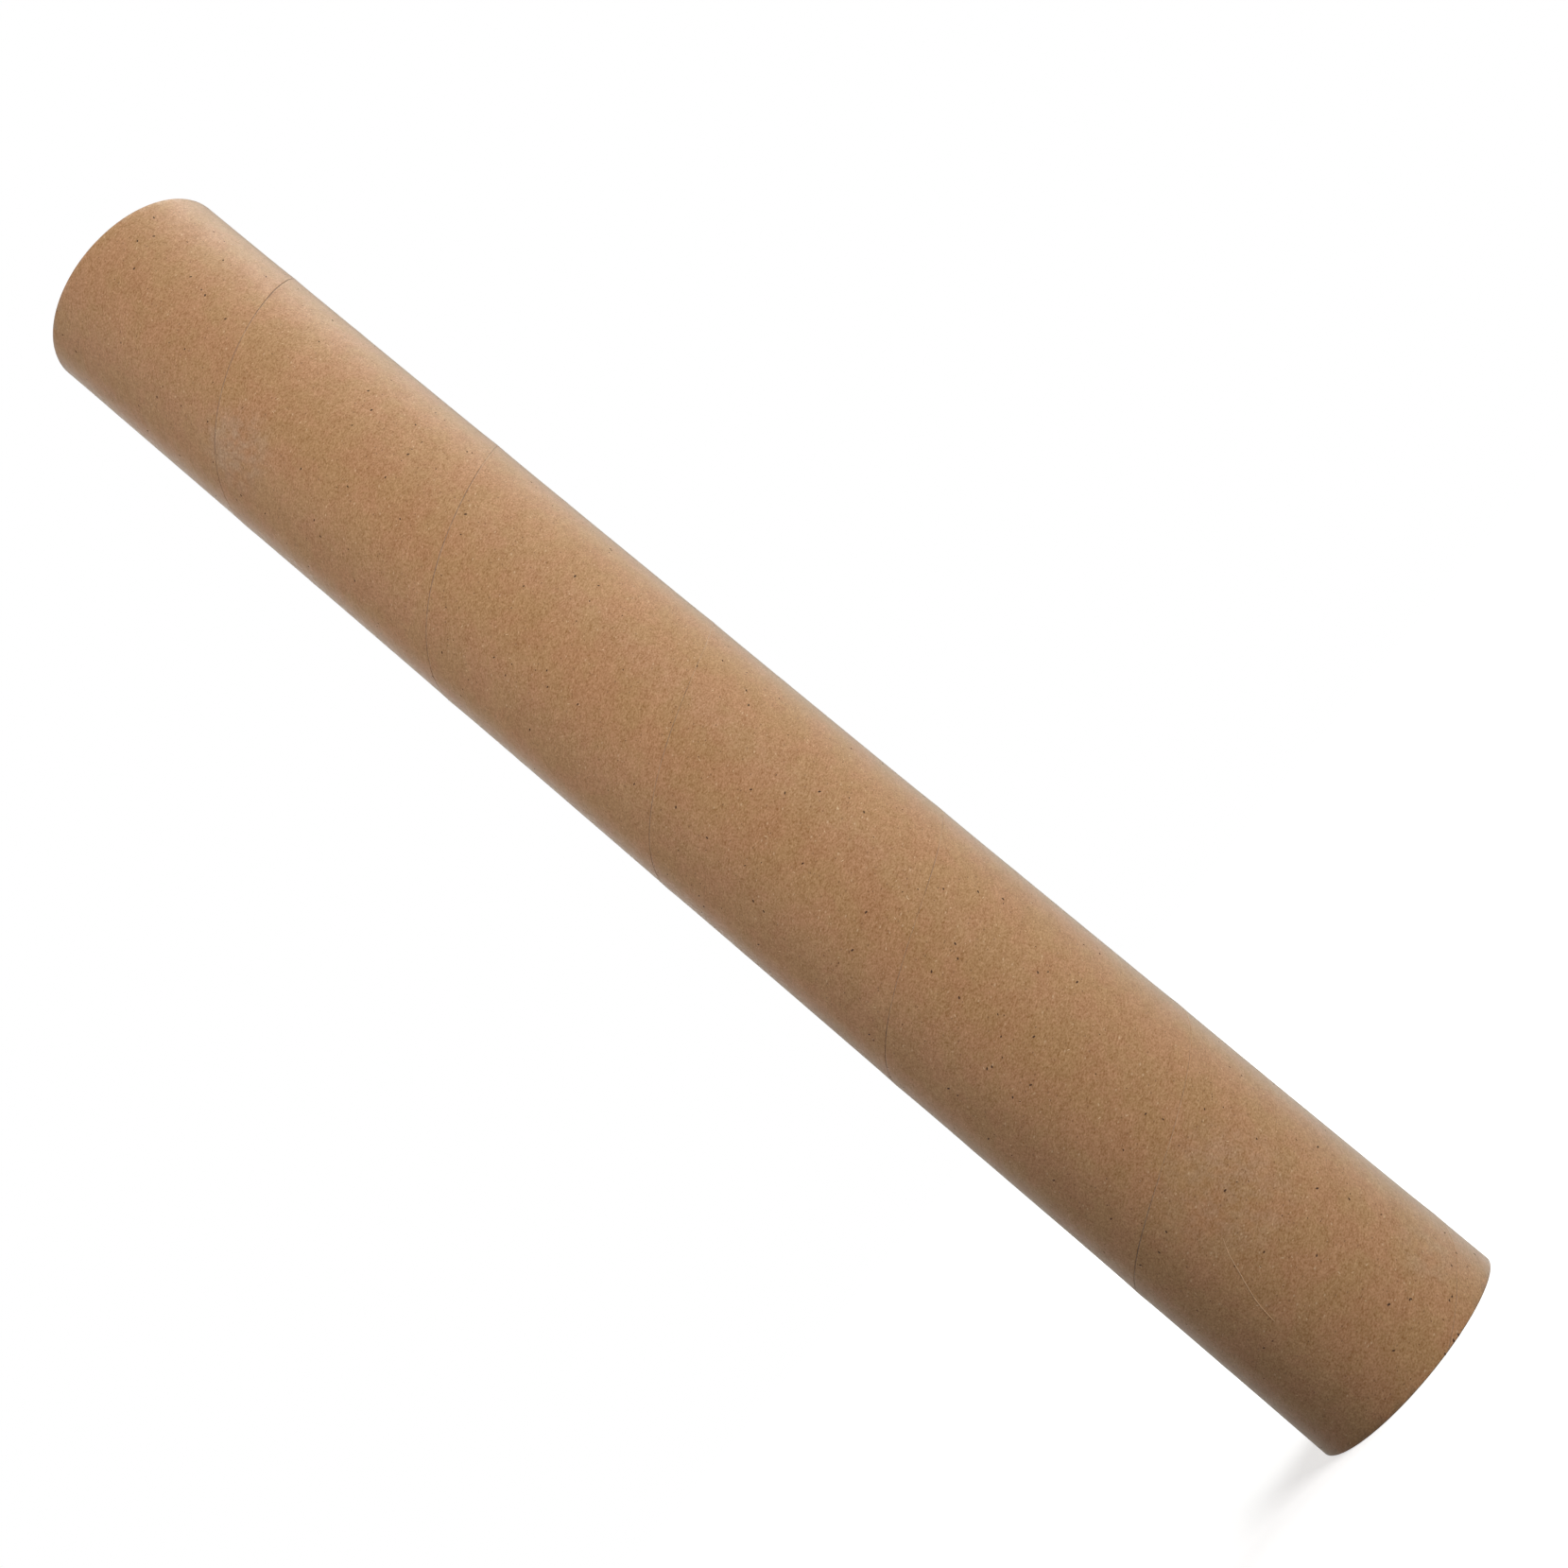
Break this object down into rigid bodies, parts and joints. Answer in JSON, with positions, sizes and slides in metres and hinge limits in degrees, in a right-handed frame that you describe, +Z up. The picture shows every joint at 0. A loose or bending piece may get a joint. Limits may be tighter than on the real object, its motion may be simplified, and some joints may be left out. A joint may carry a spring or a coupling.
{
  "type": "poster tube",
  "caption": "Open-ended kraft paper tube, spirally wound with butt-jointed outer strip, for rolled posters and drawings.",
  "frame": {"origin": "centre of the lower sawn end, on the tube's axis", "axes": "+Z up along the bore towards the other sawn end; -Y is the side that faces the viewer, where the outer joint's lowest crossing is 65.2 mm up; X completes a right-handed frame"},
  "size_m": [0.053, 0.053, 0.382],
  "materials": {
    "kraft_board": "matt, faintly mottled brown kraft with fine dark and pale fibres"
  },
  "bodies": {
    "root": {"tube": "kraft_board"}
  },
  "joints": []
}
